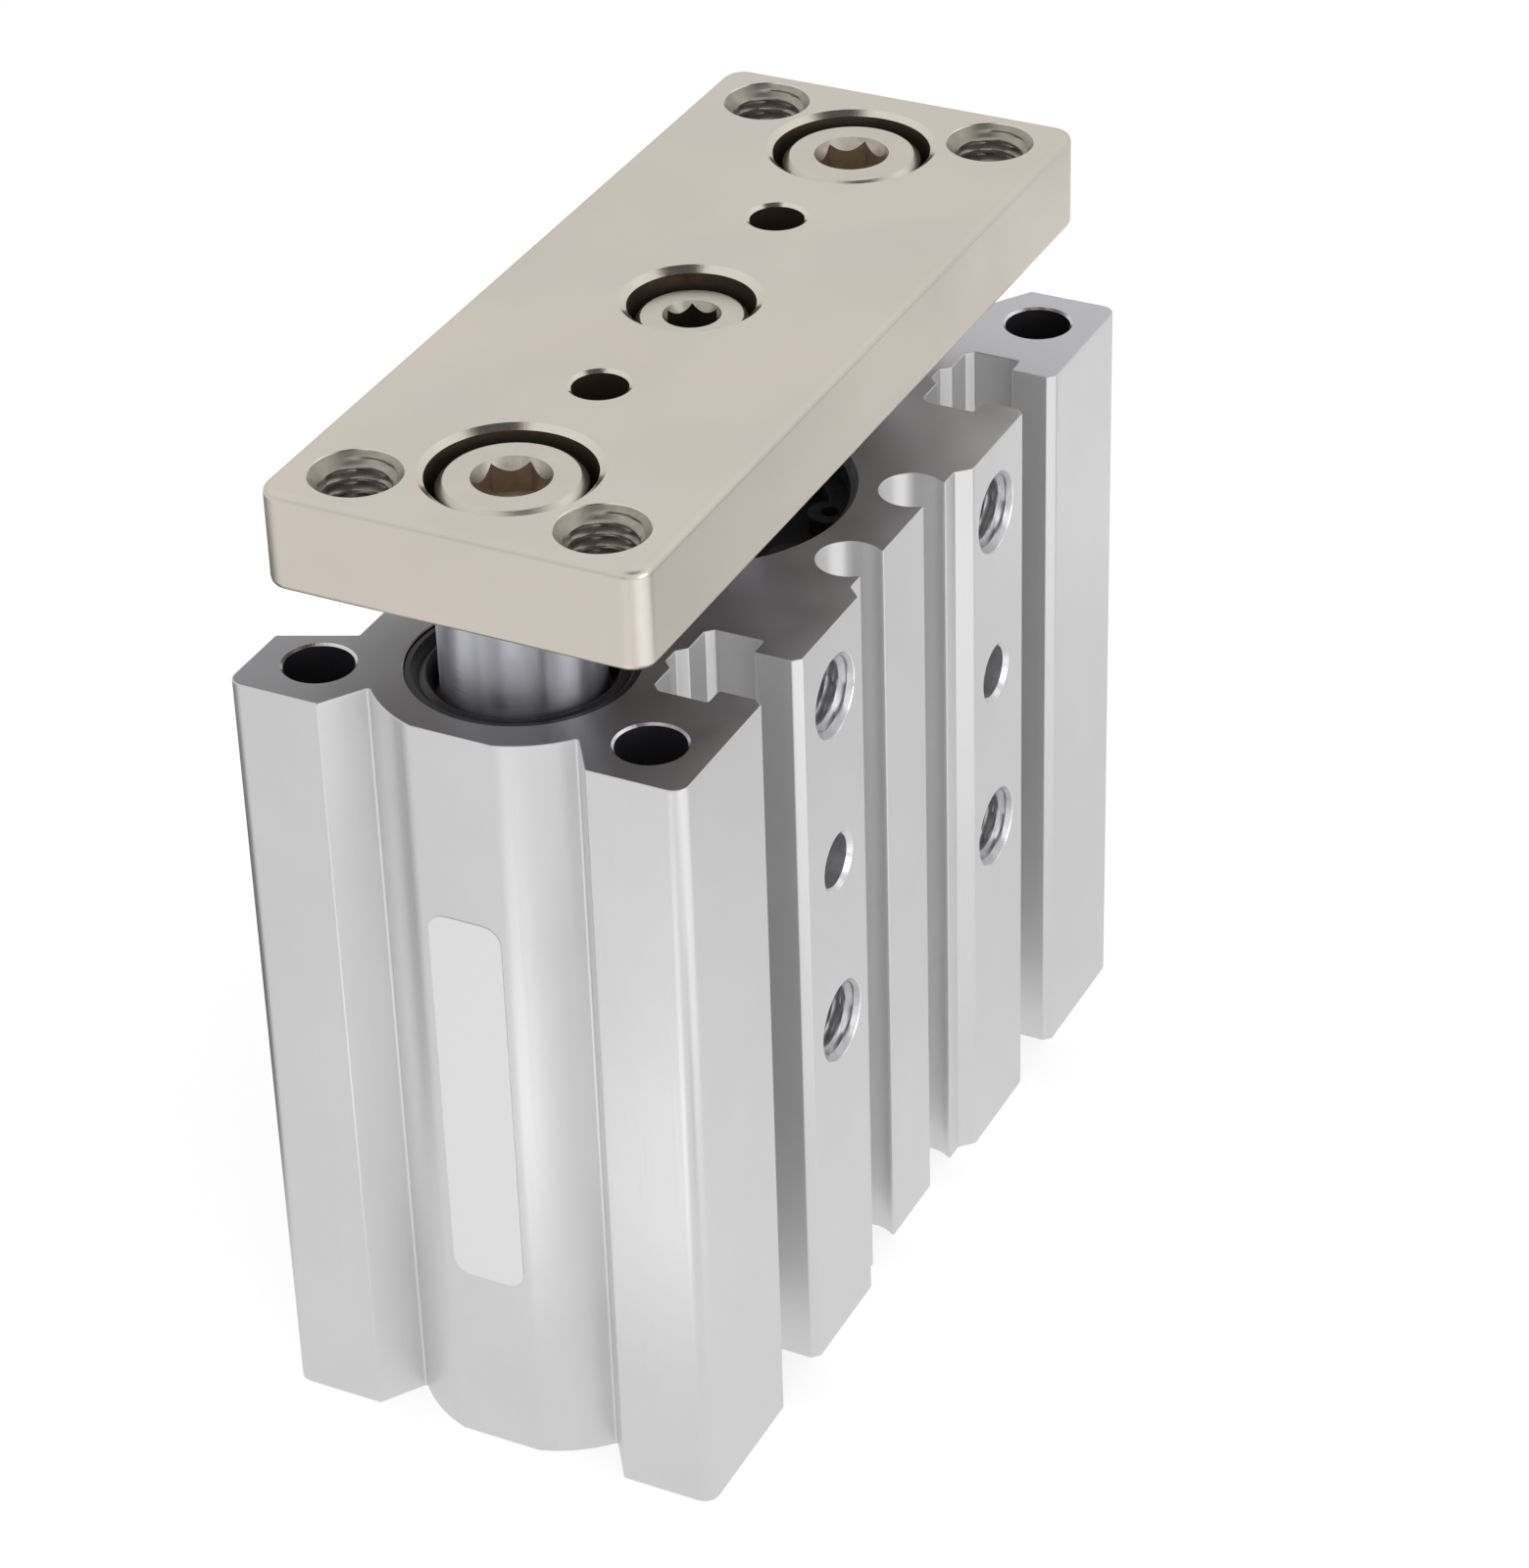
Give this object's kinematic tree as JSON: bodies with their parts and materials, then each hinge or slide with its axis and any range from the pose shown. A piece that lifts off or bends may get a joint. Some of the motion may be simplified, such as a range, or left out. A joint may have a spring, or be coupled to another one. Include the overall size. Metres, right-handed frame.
{
  "type": "guided pneumatic cylinder",
  "caption": "Compact guided pneumatic cylinder: slotted extruded body, with a tooling plate on a piston rod and parallel guide rods that slides out along Z.",
  "frame": {"origin": "centre of the body's lower end face, at the bottom centre of the whole part", "axes": "+Z along the stroke, from the head end to the tooling plate; X across the two guide rods; -Y the mounting face with the T-slots, +Y the port face"},
  "size_m": [0.064, 0.03, 0.066],
  "materials": {
    "body_anodised": "clear anodised extrusion, satin, with fine draw lines",
    "plate_nickel": "nickel-plated steel, warm satin",
    "rod_chrome": "hard chrome, ground and polished",
    "bolt_nickel": "nickel-plated bolt, turned head",
    "cover_alloy": "turned aluminium alloy, satin",
    "seal_rubber": "nitrile rubber, matt black",
    "spring_steel": "phosphated spring steel, dark",
    "bearing_bronze": "sintered bearing alloy, oiled",
    "felt": "oiled wool felt",
    "holder_resin": "moulded resin, black",
    "label_film": "blank white polyester film",
    "magnet": "bonded magnet, dark grey",
    "bumper_urethane": "cast urethane, amber"
  },
  "bodies": {
    "cylinder": {"cylinder_body": "body_anodised", "rod_end_collar": "cover_alloy", "rod_seal": "seal_rubber", "collar_gasket": "seal_rubber", "rod_end_retaining_ring": "spring_steel", "head_cover": "cover_alloy", "head_cover_gasket": "seal_rubber", "head_end_retaining_ring": "spring_steel", "upper_guide_bush_left": "bearing_bronze", "upper_guide_bush_right": "bearing_bronze", "lower_guide_bush_left": "bearing_bronze", "lower_guide_bush_right": "bearing_bronze", "felt_ring_left": "felt", "felt_ring_right": "felt", "felt_holder_left": "holder_resin", "felt_holder_right": "holder_resin", "blank_label": "label_film"},
    "carriage": {"tooling_plate": "plate_nickel", "guide_rod_left": "rod_chrome", "guide_rod_right": "rod_chrome", "guide_rod_bolt_left": "bolt_nickel", "guide_rod_bolt_right": "bolt_nickel", "piston_rod": "rod_chrome", "piston_rod_bolt": "bolt_nickel", "piston": "cover_alloy", "piston_seal": "seal_rubber", "piston_magnet": "magnet", "rod_side_bumper": "bumper_urethane", "head_side_bumper": "bumper_urethane"}
  },
  "joints": [
    {"name": "plate_slide", "type": "slide", "parent": "cylinder", "child": "carriage", "axis": [0, 0, 1], "range_m": [0, 0.02]}
  ]
}
